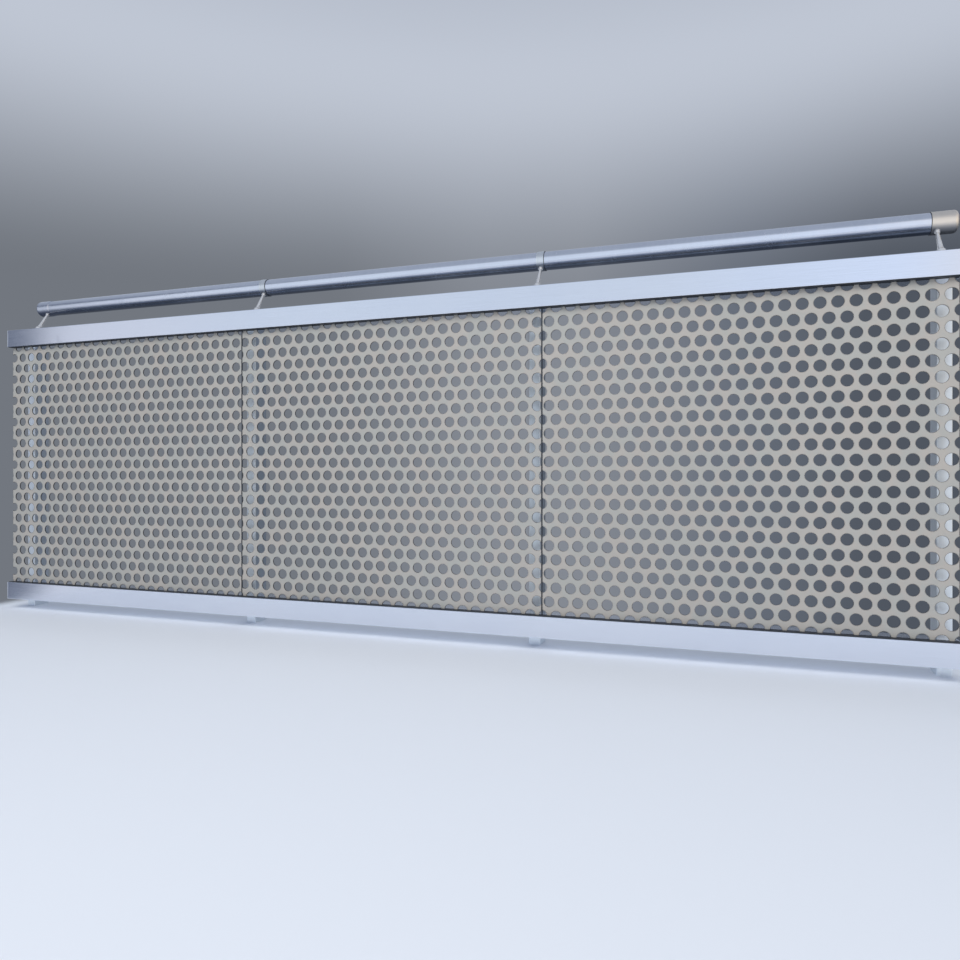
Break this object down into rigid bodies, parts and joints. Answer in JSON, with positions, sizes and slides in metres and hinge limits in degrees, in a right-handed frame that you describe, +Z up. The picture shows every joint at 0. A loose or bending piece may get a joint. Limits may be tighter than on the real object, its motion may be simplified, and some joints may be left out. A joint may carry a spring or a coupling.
{
  "type": "perforated panel railing",
  "caption": "Straight guard railing of round-hole perforated sheets between two hollow rails on flat posts, with a round handrail on slender necks that lean back to it.",
  "frame": {"origin": "centre of the left end post's foot, on the face that stands on the slab", "axes": "+X along the railing to the right as seen from outside, +Y towards the people behind it, +Z up"},
  "size_m": [3.06, 0.1936, 1.1535],
  "materials": {
    "post_steel": "satin stainless steel, grain along the post",
    "rail_steel": "brushed stainless steel, grain along the rail",
    "sheet_metal": "matt warm grey, bead-blasted",
    "handrail_steel": "satin stainless steel, ground round the tube",
    "bracket_steel": "satin cast stainless steel"
  },
  "bodies": {
    "root": {"post_1": "post_steel", "post_2": "post_steel", "post_3": "post_steel", "post_4": "post_steel", "post_foot_1": "post_steel", "post_foot_2": "post_steel", "post_foot_3": "post_steel", "post_foot_4": "post_steel", "post_cap_1": "post_steel", "post_cap_2": "post_steel", "post_cap_3": "post_steel", "post_cap_4": "post_steel", "bottom_rail": "rail_steel", "top_rail": "rail_steel", "bottom_rail_end_left": "rail_steel", "bottom_rail_end_right": "rail_steel", "top_rail_end_left": "rail_steel", "top_rail_end_right": "rail_steel", "panel_left": "sheet_metal", "panel_middle": "sheet_metal", "panel_right": "sheet_metal", "handrail_left": "handrail_steel", "handrail_middle": "handrail_steel", "handrail_right": "handrail_steel", "handrail_collar_2": "handrail_steel", "handrail_collar_3": "handrail_steel", "handrail_end_left": "handrail_steel", "handrail_end_right": "handrail_steel", "bracket_foot_1": "bracket_steel", "bracket_foot_2": "bracket_steel", "bracket_foot_3": "bracket_steel", "bracket_foot_4": "bracket_steel", "bracket_neck_1": "bracket_steel", "bracket_neck_2": "bracket_steel", "bracket_neck_3": "bracket_steel", "bracket_neck_4": "bracket_steel"}
  },
  "joints": []
}
